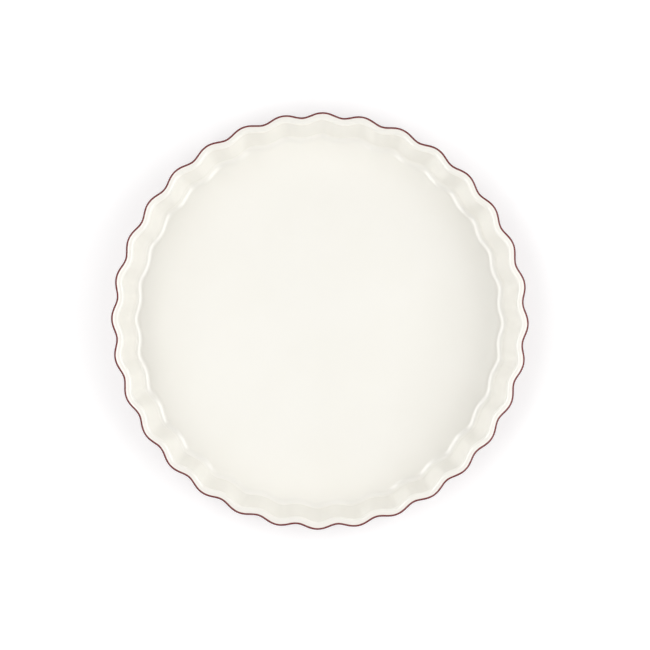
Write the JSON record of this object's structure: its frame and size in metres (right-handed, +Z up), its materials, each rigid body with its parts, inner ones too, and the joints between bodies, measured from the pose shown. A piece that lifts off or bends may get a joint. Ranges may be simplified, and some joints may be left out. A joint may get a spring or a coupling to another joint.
{
  "type": "tart dish",
  "caption": "Shallow round tart dish with a fluted flaring wall, rounded lip, flat floor and bare foot ring, glazed cream inside and dark red outside.",
  "frame": {"origin": "centre of the foot ring, in the plane that the dish stands on", "axes": "+Z up along the dish's axis, +X through a flute crest"},
  "size_m": [0.28, 0.28, 0.04],
  "materials": {
    "bare_clay": "matt fired stoneware, unglazed",
    "cream_glaze": "gloss cream glaze",
    "dark_red_glaze": "gloss dark red glaze"
  },
  "bodies": {
    "root": {"stoneware_body": "bare_clay", "inside_glaze": "cream_glaze", "outside_glaze": "dark_red_glaze", "underside_glaze": "dark_red_glaze"}
  },
  "joints": []
}
